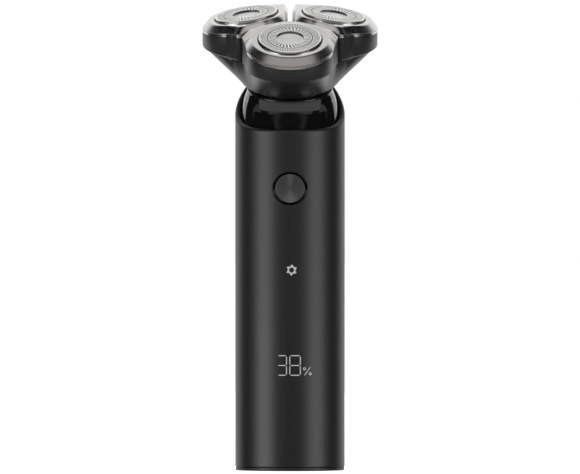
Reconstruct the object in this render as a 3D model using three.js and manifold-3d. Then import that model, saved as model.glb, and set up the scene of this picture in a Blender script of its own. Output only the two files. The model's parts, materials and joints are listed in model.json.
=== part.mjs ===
// A rotary electric shaver: a straight round handle with a slanted mouth, and a head with three
// round cutters that leans forward on a neck and floats about two axes.
// Millimetres, +Z up. The origin is the centre of the base, and the button and display face -Y.
import * as THREE from "three";
import { mergeVertices } from "three/addons/utils/BufferGeometryUtils.js";
import Module from "manifold-3d";

const wasm = await Module();
wasm.setup();

const rad = THREE.MathUtils.degToRad;

// ---------------------------------------------------------------- driving dimensions

const HANDLE_R = 18.7;
const WALL = 1.2;
const HANDLE_IN_R = HANDLE_R - WALL;
const GAP = 0.3; // between pieces that touch

// The mouth of the handle, seen from the side, is a parabola: level at the front, steep at the back.
const MOUTH_FRONT_Z = 116.2;
const MOUTH_RISE = 0.01744;
const MOUTH_EASE = 0.02; // behind the ease line the mouth climbs less, clear of the tilting head
const MOUTH_EASE_Y = 9;

const BASE_FLANGE_H = 1.1;
const BASE_TOP = 6.2;
const PORT_Y = 9;

const BUTTON_Z = 96;
const BUTTON_R = 5.0;
const BUTTON_HOLE_X = 6.25;
const BUTTON_HOLE_Z = 5.7;
const BOARD_FRONT = -12.2;
const BOARD_BACK = -11.2;
const DISPLAY_Z = 36;
const INDICATOR_X = 0.55;
const INDICATOR_Z = 68.4;

const MOTOR_R = 10;
const MOTOR_Y = 0.8; // the motor's axis crosses the head's axis inside the head's socket
const MOTOR_BOTTOM = 82;
const MOTOR_TOP = 113;
const MOUNT_BOTTOM = MOTOR_TOP + GAP;
const MOUNT_TOP = 115;
const SCREW_X = 6;

// The head's frame: its base circle's centre, and how far its axis leans forward.
const HEAD_BASE = new THREE.Vector3(0, 1.6, 131.7);
const HEAD_LEAN = rad(19.5);
const HEAD_BASE_R = 15.4;
const HOUSING_BOTTOM_A = 0.5;
const GIMBAL_A = -3; // height of the two tilt axes on the head's axis

// The head's three lobes, one cutter in each.
const LOBES = 3;
const PITCH_R = 17.2; // the head's axis to each cutter's axis
const LOBE_R = 15;
const LOBE_CORNER = [16.9, 9.76]; // where a lobe's edge meets the seam with its neighbour
const LOBE_END_NORMAL = [0.9486, 0.3164];
const LOBE_END_V = 15;
const SEAM_HALF = 0.8; // from a seam's middle to each lobe
const PART_LINE_A = 10.8; // the housing ends here and the pods begin
const HOUSING_BULGE = 0.3;
const FLAT_A = 21.95; // height of a frame's flat face at its cutter's axis
const CUTTER_LEAN = rad(9.3);

// A steel frame narrows from its lower rim to its flat face: less along a seam than outside.
const BEVEL_OUT = 2.0;
const BEVEL_END = 2.3;
const BEVEL_SEAM = 1.05;
const FRAME_BEVEL_H = 2.3;
const FRAME_H = 3.5;
const FRAME_BORE_R = 11.05;
const POD_WALL = 0.8;
const POD_PLATE = 1.4;
const POD_CHAMFER = 0.5; // round the foot of each pod, in line with the housing's cone
const POD_CLEARANCE = 0.5; // round the housing's rim, so that the pods can slide over it
const HINGE_V = 5.0; // each pod's hinge pin, outward from the head's axis
const HINGE_A = 13.4;
const CAP_R = 10.7;
const CAP_TOP = 0.65;
const CAP_FLOOR = 0.1; // the cap's sunk middle

const SUN_TEETH = 18;
const PLANET_TEETH = 22;
const GEAR_MODULE = (2 * PITCH_R) / (SUN_TEETH + PLANET_TEETH);
const GEAR_BOTTOM = 9.6;
const GEAR_TOP = 11.6;
const GEAR_PLATE_A = 7.8;
const SPINDLE_TOP = FLAT_A - 2.6;

// ---------------------------------------------------------------- materials

function finish(color, roughness, metalness) {
  return new THREE.MeshStandardMaterial({ color, roughness, metalness });
}

const satinBlackMetal = finish(0x2b2b2c, 0.42, 0.6);
const glossBlack = finish(0x060606, 0.06, 0);
const satinBlackPlastic = finish(0x1c1c1d, 0.35, 0);
const spunMetal = finish(0x4a4a4c, 0.35, 0.9);
const brushedSteel = finish(0xbdbcbb, 0.28, 1);
const plainSteel = finish(0x9a9a9a, 0.4, 1);
const greyPlastic = finish(0x3a3b3d, 0.6, 0);
const whitePlastic = finish(0xe6e4de, 0.5, 0);
const rubber = finish(0x151515, 0.9, 0);
const boardGreen = finish(0x0f3d25, 0.5, 0);
const cellWrap = finish(0x2f6fa8, 0.45, 0);
const clearPlastic = finish(0xd8dcdf, 0.15, 0);
const redWire = finish(0xa01818, 0.5, 0);

// ---------------------------------------------------------------- solids

function solidOf(geometry) {
  const bare = geometry.index ? geometry.toNonIndexed() : geometry.clone();
  bare.deleteAttribute("normal");
  bare.deleteAttribute("uv");
  const merged = mergeVertices(bare, 1e-4);
  const vertProperties = merged.attributes.position.array;
  const triVerts = new Uint32Array(merged.index.array);
  return new wasm.Manifold(new wasm.Mesh({ numProp: 3, vertProperties, triVerts }));
}

function geometryOf(solid) {
  const mesh = solid.getMesh();
  const geometry = new THREE.BufferGeometry();
  geometry.setAttribute("position", new THREE.BufferAttribute(mesh.vertProperties, 3));
  geometry.setIndex(new THREE.BufferAttribute(mesh.triVerts, 1));
  return geometry;
}

function join(...geometries) {
  return geometryOf(geometries.map(solidOf).reduce((a, b) => a.add(b)));
}

function cut(geometry, ...tools) {
  return geometryOf(tools.map(solidOf).reduce((a, b) => a.subtract(b), solidOf(geometry)));
}

function common(a, b) {
  return geometryOf(solidOf(a).intersect(solidOf(b)));
}

// A solid turned about Z from [radius, height] points, counterclockwise.
function turned(profile, segments = 28) {
  const points = profile.map(([r, z]) => new THREE.Vector2(r, z));
  return new THREE.LatheGeometry(points, segments).rotateX(Math.PI / 2);
}

function disc(radius, z0, z1, segments = 28) {
  return turned([[0, z0], [radius, z0], [radius, z1], [0, z1]], segments);
}

function ring(inner, outer, z0, z1, segments = 28) {
  return turned([[inner, z0], [outer, z0], [outer, z1], [inner, z1], [inner, z0]], segments);
}

function block([x0, x1], [y0, y1], [z0, z1]) {
  const box = new THREE.BoxGeometry(x1 - x0, y1 - y0, z1 - z0);
  return box.translate((x0 + x1) / 2, (y0 + y1) / 2, (z0 + z1) / 2);
}

// A round bar from one y to another, with its axis at [x, z]. Its section may be an ellipse.
function barAlongY([x, z], [rx, rz], y0, y1, segments = 32) {
  const bar = new THREE.CylinderGeometry(1, 1, y1 - y0, segments);
  return bar.scale(rx, 1, rz).translate(x, (y0 + y1) / 2, z);
}

// A closed skin over rings of points, each counterclockwise from above, with a fan over each end.
function loft(rings, bottomCentre, topCentre) {
  const count = rings[0].length;
  const points = [...rings.flat(), bottomCentre, topCentre];
  const at = (level, i) => level * count + (i % count);
  const last = rings.length - 1;
  const index = [];
  for (let i = 0; i < count; i++) {
    for (let level = 0; level < last; level++) {
      const [a, b] = [at(level, i), at(level, i + 1)];
      const [c, d] = [at(level + 1, i + 1), at(level + 1, i)];
      index.push(a, b, c, a, c, d);
    }
    index.push(points.length - 2, at(0, i + 1), at(0, i));
    index.push(points.length - 1, at(last, i), at(last, i + 1));
  }
  const geometry = new THREE.BufferGeometry().setFromPoints(points);
  return geometry.setIndex(index);
}

// A round wire or lead along a smooth curve through the points.
function wire(points, radius, sides, steps) {
  const path = new THREE.CatmullRomCurve3(points.map((p) => new THREE.Vector3(...p)));
  const section = new THREE.Shape();
  for (let i = 0; i < sides; i++) {
    const angle = (2 * Math.PI * i) / sides;
    const place = [radius * Math.cos(angle), radius * Math.sin(angle)];
    if (i === 0) section.moveTo(...place);
    else section.lineTo(...place);
  }
  return new THREE.ExtrudeGeometry(section, { steps, extrudePath: path, curveSegments: 1 });
}

// ---------------------------------------------------------------- outlines of the head

function smoothMin(a, b, blend) {
  const near = Math.max(blend - Math.abs(a - b), 0) / blend;
  return Math.min(a, b) - (near * near * blend) / 4;
}

const smoothMax = (a, b, blend) => -smoothMin(-a, -b, blend);

// How far a point lies outside one lobe. u is sideways and v is outward from the head's axis.
// A lobe is a disc round its cutter, with its outer corners filled out to the seams between it
// and its two neighbours. The bevel goes from 0 at a frame's lower rim to 1 at its flat face.
function lobeDistance(u, v, seamHalf, bevel) {
  const side = Math.abs(u);
  const [seamCos, seamSin] = [Math.cos(Math.PI / LOBES), Math.sin(Math.PI / LOBES)];
  const round = Math.hypot(u, v - PITCH_R) - LOBE_R + BEVEL_OUT * bevel;
  const toSeam = side * seamCos - v * seamSin + seamHalf + BEVEL_SEAM * bevel;
  const alongSeam = side * seamSin + v * seamCos;
  const toEnd =
    (side - LOBE_CORNER[0]) * LOBE_END_NORMAL[0] +
    (v - LOBE_CORNER[1]) * LOBE_END_NORMAL[1] +
    BEVEL_END * bevel;
  const corner = smoothMax(smoothMax(toEnd, v - LOBE_END_V, 1), PITCH_R * seamCos - alongSeam, 1);
  return smoothMax(smoothMin(round, corner, 2), toSeam, 1.5);
}

// The radius at which a rising distance function passes a level.
function radiusAt(distance, level, inside, outside) {
  const HALVINGS = 40;
  for (let i = 0; i < HALVINGS; i++) {
    const middle = (inside + outside) / 2;
    if (distance(middle) < level) inside = middle;
    else outside = middle;
  }
  return inside;
}

// A lobe's outline about its own cutter, at an angle from straight outward.
function lobeRadius(angle, bevel, inset = 0) {
  const distance = (r) =>
    lobeDistance(r * Math.sin(angle), PITCH_R + r * Math.cos(angle), SEAM_HALF, bevel);
  return radiusAt(distance, -inset, 0, 2 * LOBE_R);
}

// The outline of all three lobes together, about the head's axis.
function headRadius(angle, inset) {
  const sector = (2 * Math.PI) / LOBES;
  const folded = angle - sector * Math.round(angle / sector);
  const distance = (r) => lobeDistance(r * Math.sin(folded), r * Math.cos(folded), -4, 0);
  return radiusAt(distance, -inset, PITCH_R - 4, 2 * PITCH_R + LOBE_R);
}

// Points round Z, where shape(angle) gives [radius, height] and angle 0 is the front, -Y.
function around(count, shape) {
  return Array.from({ length: count }, (_, i) => {
    const angle = (2 * Math.PI * i) / count;
    const [r, z] = shape(angle);
    return new THREE.Vector3(r * Math.sin(angle), -r * Math.cos(angle), z);
  });
}

const up = (z) => new THREE.Vector3(0, 0, z);

// ---------------------------------------------------------------- the handle

const mouthZ = (y) =>
  MOUTH_FRONT_Z +
  MOUTH_RISE * Math.max(y + HANDLE_R, 0) ** 2 -
  MOUTH_EASE * Math.max(y - MOUTH_EASE_Y, 0) ** 2;

// Everything above the mouth's curve, raised by lift.
function aboveMouth(lift) {
  const STEPS = 18;
  const outline = new THREE.Shape();
  outline.moveTo(-HANDLE_R - 3, mouthZ(-HANDLE_R) + lift);
  for (let i = 0; i <= STEPS; i++) {
    const y = -HANDLE_R + (2 * HANDLE_R * i) / STEPS;
    outline.lineTo(y, mouthZ(y) + lift);
  }
  outline.lineTo(HANDLE_R + 3, mouthZ(HANDLE_R) + lift + 2);
  outline.lineTo(HANDLE_R + 3, 160);
  outline.lineTo(-HANDLE_R - 3, 160);
  const across = 2 * HANDLE_R + 6;
  const slab = new THREE.ExtrudeGeometry(outline, { depth: across, bevelEnabled: false });
  const toSideView = new THREE.Matrix4().makeBasis(
    new THREE.Vector3(0, 1, 0),
    new THREE.Vector3(0, 0, 1),
    new THREE.Vector3(1, 0, 0),
  );
  return slab.translate(0, 0, -across / 2).applyMatrix4(toSideView);
}

function bodyShell() {
  const tube = ring(HANDLE_IN_R, HANDLE_R, BASE_FLANGE_H + 0.15, 145, 52);
  const buttonHole = barAlongY([0, BUTTON_Z], [BUTTON_HOLE_X, BUTTON_HOLE_Z], -22, -12);
  return cut(tube, aboveMouth(0), buttonHole);
}

// A slot with round ends, upright, centred on the charging port.
function portSlot(width, height, z0, z1) {
  const half = (width - height) / 2;
  const end = (x) => disc(height / 2, z0, z1, 16).translate(x, PORT_Y, 0);
  const middle = block([-half, half], [PORT_Y - height / 2, PORT_Y + height / 2], [z0, z1]);
  return join(middle, end(-half), end(half));
}

function baseCap() {
  const SEAL_GROOVE_R = 15.7;
  const plugR = HANDLE_IN_R - GAP;
  const plug = turned([
    [0, 0], [HANDLE_R - 0.5, 0], [HANDLE_R - 0.1, 0.4], [HANDLE_R - 0.1, BASE_FLANGE_H],
    [plugR, BASE_FLANGE_H], [plugR, 2.6], [SEAL_GROOVE_R, 2.6], [SEAL_GROOVE_R, 4.4],
    [plugR, 4.4], [plugR, BASE_TOP], [0, BASE_TOP],
  ], 36);
  const inside = disc(14.6, 2.4, BASE_TOP + 1);
  return cut(plug, inside, portSlot(9.6, 3.9, -1, 3));
}

const baseSeal = () => ring(16.0, 17.35, 2.9, 4.1);

function chargePort() {
  return cut(portSlot(9.0, 3.2, 0.5, 7.6), portSlot(8.3, 2.5, 0, 8));
}

function chargePortTongue() {
  const tongue = block([-3.3, 3.3], [PORT_Y - 0.35, PORT_Y + 0.35], [1.6, 6.6]);
  return join(tongue, block([-2.8, 2.8], [PORT_Y - 0.9, PORT_Y + 0.9], [6.0, 7.4]));
}

function chassis() {
  const DISC_R = 16.9;
  const floor = disc(DISC_R, 8, 9.6);
  const deck = disc(DISC_R, 76, 77.6);
  const spine = block([-5, 5], [13.2, 14.8], [8, 104]);
  const cradle = ring(MOTOR_R + 0.5, 13.2, 90, 93, 32).translate(0, MOTOR_Y, 0);
  const boardSlot = block([-20, 20], [-20, BOARD_BACK + 0.6], [20, 110]);
  return cut(join(floor, spine, cut(join(deck, cradle), boardSlot)));
}

const battery = () =>
  join(disc(7, 12, 61, 32), disc(2.8, 60.5, 62, 16)).translate(0, 4.5, 0);

const batteryLeadPositive = () =>
  wire([[4, 2, 62.4], [5, -1, 65], [5, -6, 68], [4, BOARD_BACK + 0.6, 70]], 0.5, 6, 8);

const batteryLeadNegative = () =>
  wire([[-4, 0, 11.4], [-5, -3, 10.9], [-5, -8, 12], [-4, BOARD_BACK + 0.6, 15]], 0.5, 6, 8);

const mainBoard = () => block([-10.4, 10.4], [BOARD_FRONT, BOARD_BACK], [12, 104]);

function powerSwitch() {
  const body = block([-3, 3], [-14.1, BOARD_FRONT - GAP], [BUTTON_Z - 3, BUTTON_Z + 3]);
  return join(body, barAlongY([0, BUTTON_Z], [1.4, 1.4], -14.8, -14, 16));
}

const displayModule = () =>
  block([-7.6, 7.6], [-14.8, BOARD_FRONT - GAP], [DISPLAY_Z - 6, DISPLAY_Z + 6]);

function displayLightGuide() {
  const plate = block([-6.5, 6.5], [-HANDLE_R, -15.1], [DISPLAY_Z - 5, DISPLAY_Z + 5]);
  return common(plate, disc(HANDLE_IN_R - GAP, 0, 100, 72));
}

const indicatorLightGuide = () =>
  barAlongY([INDICATOR_X, INDICATOR_Z], [1.7, 1.7], -17.0, -13.0, 16);

function buttonBezel() {
  const outside = barAlongY([0, BUTTON_Z], [BUTTON_HOLE_X - 0.15, BUTTON_HOLE_Z - 0.15], -17.9, -16.5);
  return cut(outside, barAlongY([0, BUTTON_Z], [BUTTON_R + 0.2, BUTTON_R + 0.2], -19, -15));
}

function buttonMembrane() {
  const sheet = barAlongY([0, BUTTON_Z], [7.0, 7.0], -15.5, -15.0);
  return cut(sheet, barAlongY([0, BUTTON_Z], [2.1, 2.1], -16, -14, 20));
}

// The pressed cap, with the stem that reaches the switch.
function powerButton() {
  const FACE = -HANDLE_R + 0.12;
  const cap = barAlongY([0, BUTTON_Z], [BUTTON_R, BUTTON_R], FACE, -16.6, 40);
  return join(cap, barAlongY([0, BUTTON_Z], [1.6, 1.6], -17, -15.7, 16));
}

// ---------------------------------------------------------------- the motor

function screwHoles(radius, z0, z1) {
  return [-SCREW_X, SCREW_X].map((x) => disc(radius, z0, z1, 12).translate(x, 0, 0));
}

function motorCan() {
  const top = MOTOR_TOP - 1.5;
  const cup = turned([
    [MOTOR_R - 1, MOTOR_BOTTOM], [MOTOR_R, MOTOR_BOTTOM], [MOTOR_R, MOTOR_TOP], [1.7, MOTOR_TOP],
    [1.7, top], [MOTOR_R - 1, top], [MOTOR_R - 1, MOTOR_BOTTOM],
  ]);
  return cut(cup, ...screwHoles(0.95, top - 1, MOTOR_TOP + 1));
}

const motorEndBell = () => ring(1.5, MOTOR_R - 0.2, 79.6, MOTOR_BOTTOM - GAP);

function motorMount() {
  const plate = ring(2.4, 14.2, MOUNT_BOTTOM, MOUNT_TOP);
  return cut(plate, ...screwHoles(0.95, MOUNT_BOTTOM - 1, MOUNT_TOP + 1));
}

function motorScrew(x) {
  const head = disc(1.7, MOUNT_TOP + 0.2, MOUNT_TOP + 1.4, 16);
  const slot = block([-3, 3], [-0.25, 0.25], [MOUNT_TOP + 0.9, MOUNT_TOP + 2]);
  return cut(join(disc(0.75, 110.6, MOUNT_TOP + 0.4, 12), head), slot).translate(x, 0, 0);
}

const motorRotor = () => join(disc(7.6, 84, 109, 32), disc(1.0, 80.2, 120.6, 16));

// A sleeve on the motor's shaft that ends in a six-sided driver for the head's socket.
function driveCoupling() {
  const sleeve = cut(disc(1.7, 116.4, 130.8, 20), disc(1.15, 116, 121, 16));
  const driver = turned(
    [[0, 132.9], [1.1, 132.9], [1.5, 133.5], [1.5, 135.2], [1.1, 135.8], [0, 135.8]],
    6,
  );
  return join(sleeve, disc(0.9, 130.5, 133.4, 16), driver);
}

// ---------------------------------------------------------------- the neck

const headFrame = new THREE.Matrix4().compose(
  HEAD_BASE,
  new THREE.Quaternion().setFromEuler(new THREE.Euler(HEAD_LEAN, 0, 0)),
  new THREE.Vector3(1, 1, 1),
);

const inHead = (geometry) => geometry.applyMatrix4(headFrame);

const NECK_TOP_A = -1.2;
const NECK_TOP_R = 14.6;
const SHELF_TOP_A = -6.4;
const SHELF_BOTTOM_A = -8.2;

// Gloss black collar between the handle's mouth and the head, with the tilt ring's well in its top.
function neckCollar() {
  const COUNT = 32;
  const outerR = HANDLE_IN_R - GAP;
  const skirt = around(COUNT, () => [outerR, MOTOR_TOP]);
  const mouth = around(COUNT, (angle) => [outerR, mouthZ(-outerR * Math.cos(angle)) - 0.9]);
  const top = around(COUNT, () => [NECK_TOP_R, NECK_TOP_A]).map((p) => p.applyMatrix4(headFrame));
  // A hollow quarter round: in along the ledge first, then up to the top ring.
  const between = [Math.PI / 6, Math.PI / 3].map((turn) =>
    mouth.map((p, i) => {
      const inward = p.clone().lerp(top[i], Math.sin(turn));
      const height = THREE.MathUtils.lerp(p.z, top[i].z, 1 - Math.cos(turn));
      return inward.setZ(height);
    }),
  );
  const outside = loft(
    [skirt, mouth, ...between, top],
    up(MOTOR_TOP),
    up(NECK_TOP_A).applyMatrix4(headFrame),
  );
  const well = inHead(disc(12.6, SHELF_TOP_A, 4));
  const underShelf = common(
    disc(15.8, 100, 150),
    inHead(block([-40, 40], [-40, 40], [-60, SHELF_BOTTOM_A])),
  );
  const shaftHole = disc(3.2, 105, 130, 20).translate(0, MOTOR_Y, 0);
  const sealGroove = ring(16.4, 20, 113.8, 115.0);
  const pinHoles = inHead(
    new THREE.CylinderGeometry(0.8, 0.8, 27, 12).rotateZ(Math.PI / 2).translate(0, 0, GIMBAL_A),
  );
  return cut(outside, well, underShelf, shaftHole, sealGroove, pinHoles);
}

const neckSeal = () => ring(16.6, 17.35, 113.95, 114.85);

const shaftSeal = () => ring(1.95, 3.0, 122.9, 124.3, 20);

// ---------------------------------------------------------------- the tilt ring and the seat

const PIN_R = 0.6;

// A stub across the head's axis: from r0 to r1 out along an axis turned by angle from +X.
function stub(angle, r0, r1, radius = PIN_R) {
  const bar = new THREE.CylinderGeometry(radius, radius, r1 - r0, 12).rotateZ(Math.PI / 2);
  return bar.translate((r0 + r1) / 2, 0, GIMBAL_A).rotateZ(angle);
}

// The ring between the two tilts. Its stubs turn in the collar, and the seat's stubs turn in it.
function tiltRing() {
  const body = ring(7.7, 9.7, GIMBAL_A - 1.1, GIMBAL_A + 0.9, 24);
  const bore = stub(Math.PI / 2, -12, 12, PIN_R + 0.15);
  return join(cut(body, bore), stub(0, 8.6, 13.3), stub(Math.PI, 8.6, 13.3));
}

// The seat that the head plugs onto: a hub inside the tilt ring, and a boss up into the housing.
function headSeat() {
  const body = turned([
    [5.0, GIMBAL_A - 1.2], [6.7, GIMBAL_A - 1.2], [6.7, -0.8], [11.6, -0.8], [11.6, 0.2],
    [8.0, 0.2], [8.0, 1.6], [5.0, 1.6], [5.0, GIMBAL_A - 1.2],
  ]);
  return join(body, stub(Math.PI / 2, 6, 9.2), stub(-Math.PI / 2, 6, 9.2));
}

// ---------------------------------------------------------------- the housing and the gears

const HEAD_POINTS = 36;

// The cone that swells from the round base into three lobes.
function housingRadius(angle, a, inset) {
  const share = a / PART_LINE_A;
  const swell = share * (1 + HOUSING_BULGE * (1 - share));
  return HEAD_BASE_R + (headRadius(angle, POD_WALL + POD_CLEARANCE) - HEAD_BASE_R) * swell - inset;
}

function housingSkin(levels, inset) {
  const rings = levels.map((a) =>
    around(HEAD_POINTS, (angle) => [housingRadius(angle, a, inset), a]),
  );
  return loft(rings, up(levels[0]), up(levels.at(-1)));
}

const MAGNET_X = 11.2;
const MAGNET_R = 1.5;

function headHousing() {
  const outside = housingSkin([HOUSING_BOTTOM_A, 3.5, 7, PART_LINE_A], 0);
  const inside = housingSkin([HOUSING_BOTTOM_A + 1.8, 5.5, PART_LINE_A + 0.4], WALL);
  const pockets = [-MAGNET_X, MAGNET_X].map((x) =>
    disc(MAGNET_R + 0.2, HOUSING_BOTTOM_A + 0.4, 4, 16).translate(x, 0, 0),
  );
  return cut(outside, inside, disc(8.5, -1, 3), ...pockets);
}

const magnet = (x) =>
  disc(MAGNET_R, HOUSING_BOTTOM_A + 0.7, HOUSING_BOTTOM_A + 2.2, 16).translate(x, 0, 0);

// The plate that closes the housing under the gears, with a post for each gear to turn on.
function gearPlate() {
  const HAIR_HOLE_PLACE = 14.6;
  const top = GEAR_PLATE_A + 1.3;
  const edge = around(HEAD_POINTS, (angle) => [
    housingRadius(angle, GEAR_PLATE_A, WALL + 0.7),
    0,
  ]);
  const lift = (z) => edge.map((p) => p.clone().setZ(z));
  const plate = loft([lift(GEAR_PLATE_A), lift(top)], up(GEAR_PLATE_A), up(top));
  const lobeTurns = [0, 1, 2].map((i) => (i * 2 * Math.PI) / LOBES);
  const posts = lobeTurns.map((turn) =>
    disc(0.9, top - 0.2, GEAR_TOP - 0.3, 12).translate(0, -PITCH_R, 0).rotateZ(turn),
  );
  const hairHoles = lobeTurns.map((turn) =>
    disc(2.0, GEAR_PLATE_A - 1, top + 1, 16).translate(0, HAIR_HOLE_PLACE, 0).rotateZ(turn),
  );
  const hubHole = disc(4.7, GEAR_PLATE_A - 1, top + 1, 24);
  return cut(join(plate, ...posts), hubHole, ...hairHoles);
}

// A spur gear's outline with 20 degree involute flanks, a tooth pointing at the angle given.
function gearOutline(teeth, toothAngle) {
  const BACKLASH = 0.3;
  const pitchR = (GEAR_MODULE * teeth) / 2;
  const baseR = pitchR * Math.cos(rad(20));
  const tipR = pitchR + 0.85 * GEAR_MODULE;
  const rootR = pitchR - 1.1 * GEAR_MODULE;
  const involute = (r) => {
    const pressure = Math.acos(Math.min(baseR / r, 1));
    return Math.tan(pressure) - pressure;
  };
  const halfAngle = (r) =>
    Math.PI / (2 * teeth) - BACKLASH / (2 * pitchR) + involute(pitchR) - involute(r);
  const flank = [rootR, tipR].map((r) => [r, halfAngle(r)]);
  const points = [];
  for (let i = 0; i < teeth; i++) {
    const centre = toothAngle + (2 * Math.PI * i) / teeth;
    flank.forEach(([r, half]) => points.push([r, centre - half]));
    flank.toReversed().forEach(([r, half]) => points.push([r, centre + half]));
  }
  return new THREE.Shape(
    points.map(([r, angle]) => new THREE.Vector2(r * Math.cos(angle), r * Math.sin(angle))),
  );
}

function gearDisc(teeth, toothAngle) {
  const depth = GEAR_TOP - GEAR_BOTTOM;
  const outline = gearOutline(teeth, toothAngle);
  const wheel = new THREE.ExtrudeGeometry(outline, { depth, bevelEnabled: false });
  return wheel.translate(0, 0, GEAR_BOTTOM);
}

// The middle gear. Its hub reaches down to the motor's driver and ends in a six-sided socket.
function sunGear() {
  const hub = disc(4.3, 1.9, GEAR_BOTTOM + 0.2, 24);
  const socket = disc(3.3, 1, 6, 6);
  return cut(join(gearDisc(SUN_TEETH, -Math.PI / 2), hub), socket);
}

// A lobe's gear, with the spindle that turns its cutter. A gap between teeth faces the sun gear.
function driveGear() {
  const halfTooth = Math.PI / PLANET_TEETH;
  const wheel = gearDisc(PLANET_TEETH, Math.PI / 2 + halfTooth);
  const sleeve = disc(1.6, GEAR_TOP - 0.2, SPINDLE_TOP - 2.7, 12);
  const sixSidedTip = disc(1.1, SPINDLE_TOP - 3, SPINDLE_TOP, 6);
  const bore = disc(1.1, GEAR_BOTTOM - 1, GEAR_TOP, 12);
  return cut(join(wheel, sleeve, sixSidedTip), bore);
}

function spindleSpring() {
  const TURNS = 3.5;
  const STEPS_PER_TURN = 8;
  const COIL_R = 2.5;
  const [bottom, top] = [GEAR_TOP + 0.6, SPINDLE_TOP - 3.1];
  const steps = TURNS * STEPS_PER_TURN;
  const points = Array.from({ length: steps + 1 }, (_, i) => {
    const angle = (2 * Math.PI * i) / STEPS_PER_TURN;
    return [COIL_R * Math.cos(angle), COIL_R * Math.sin(angle), bottom + ((top - bottom) * i) / steps];
  });
  return wire(points, 0.28, 4, steps);
}

// ---------------------------------------------------------------- the pods and the cutters

// The bridge over the middle gear, with a bearing block for each pod's hinge pin. Its three feet
// stand on the gear plate, between the gears.
function podBridge() {
  const FOOT_PLACE = 10.4;
  const [underside, top] = [GEAR_TOP + 0.4, GEAR_TOP + 1.5];
  const arms = [0, 1, 2].flatMap((i) => {
    const turn = (i * 2 * Math.PI) / LOBES;
    const foot = disc(1.2, GEAR_PLATE_A + 1.6, top, 12).translate(0, FOOT_PLACE, 0);
    const arm = block([-1, 1], [0, FOOT_PLACE], [underside, top]);
    const bearing = block([-2.4, 2.4], [-HINGE_V - 0.9, 0], [underside, HINGE_A + 0.9]);
    return [foot, arm, bearing].map((piece) => piece.rotateZ(turn));
  });
  const bores = [0, 1, 2].map((i) => hingeBar(0.75, 4).rotateZ((i * 2 * Math.PI) / LOBES));
  return cut(join(...arms), ...bores);
}

// A bar on the first pod's hinge axis, in the head's frame.
function hingeBar(radius, reach) {
  const bar = new THREE.CylinderGeometry(radius, radius, 2 * reach, 12).rotateZ(Math.PI / 2);
  return bar.translate(0, -HINGE_V, HINGE_A);
}

// Moves a piece made in the head's frame to the first lobe's own frame.
const toLobe = (geometry) => geometry.translate(0, PITCH_R, -FLAT_A);

const podPin = () => toLobe(hingeBar(0.45, 4.6));

// A lobe's outline as a ring of points, each at its own height on the leaning plane, which is
// lowered by the drop.
function planeRing(bevel, inset, drop) {
  return around(HEAD_POINTS, (angle) => {
    const r = lobeRadius(angle, bevel, inset);
    return [r, -r * Math.cos(angle) * Math.tan(CUTTER_LEAN) - drop];
  });
}

function podSkin(inset, bottom, drop, chamfer) {
  const top = planeRing(0, inset, drop);
  const low = top.map((p) => p.clone().setZ(bottom + chamfer));
  const rings = [low, top];
  if (chamfer > 0) {
    rings.unshift(planeRing(0, inset + POD_WALL * 0.8, drop).map((p) => p.setZ(bottom)));
  }
  return loft(rings, up(bottom), up(-drop));
}

// The black skirt under a steel frame, with the bore its cutter sits in and two hinge lugs.
function pod() {
  const bottom = PART_LINE_A + GAP - FLAT_A;
  const drop = FRAME_H + GAP;
  const inside = podSkin(POD_WALL, bottom - 1, drop + POD_PLATE, 0);
  const shell = cut(podSkin(0, bottom, drop, POD_CHAMFER), inside);
  const overBridge = toLobe(disc(13.4, 0, HINGE_A + 2.2));
  const lugs = [-3.5, 3.5].map((x) =>
    toLobe(block([x - 0.6, x + 0.6], [-HINGE_V - 0.9, -HINGE_V + 0.9], [HINGE_A - 1.1, FLAT_A - 2.8])),
  );
  const bore = disc(11.3, -5.7, 3).rotateX(CUTTER_LEAN);
  return cut(join(cut(shell, overBridge), ...lugs), bore, toLobe(hingeBar(0.75, 6)));
}

// A steel frame in its lobe's frame: a flat face, a bevel all round and a short upright lip.
function steelFrame() {
  const outside = loft(
    [planeRing(0, 0, FRAME_H), planeRing(0, 0, FRAME_BEVEL_H), planeRing(1, 0, 0)],
    up(-FRAME_H),
    up(0),
  );
  return cut(outside, disc(FRAME_BORE_R, -FRAME_H - 2, 2).rotateX(CUTTER_LEAN));
}

// The slotted cap that touches the skin: two raised tracks, with a groove between them
// and a sunk middle.
function foilCap() {
  const SKIN = 0.5;
  const SKIRT_BOTTOM = -2.2;
  const [top, floor] = [CAP_TOP, CAP_FLOOR];
  return turned([
    [0, floor - SKIN], [4.9, floor - SKIN], [4.9, top - SKIN], [CAP_R - SKIN, top - SKIN],
    [CAP_R - SKIN, SKIRT_BOTTOM], [CAP_R, SKIRT_BOTTOM], [CAP_R, top - 0.3], [CAP_R - 0.3, top],
    [4.7, top], [4.7, floor], [0, floor],
  ], 24);
}

// The cutter that turns under the cap: lifted blades in two tracks, on a disc with a hub.
function innerCutter() {
  const BLADES = 5;
  const [BLADE_BOTTOM, BLADE_TOP] = [-1.3, 0.05];
  const web = turned([
    [0, -1.0], [2.7, -1.0], [2.7, -4.2], [3.6, -4.2], [3.6, -1.7], [9.8, -1.7], [9.8, -1.0],
    [3.6, -1.0], [3.6, -0.6], [0, -0.6],
  ], 24);
  const blades = Array.from({ length: BLADES }, (_, i) => i).flatMap((i) => {
    const turn = (2 * Math.PI * i) / BLADES;
    const blade = (from, to) =>
      block([from, to], [-0.3, 0.3], [BLADE_BOTTOM, BLADE_TOP]).rotateZ(turn);
    return [blade(8.5, 9.7), blade(5.3, 7.2)];
  });
  return join(web, ...blades);
}

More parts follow.
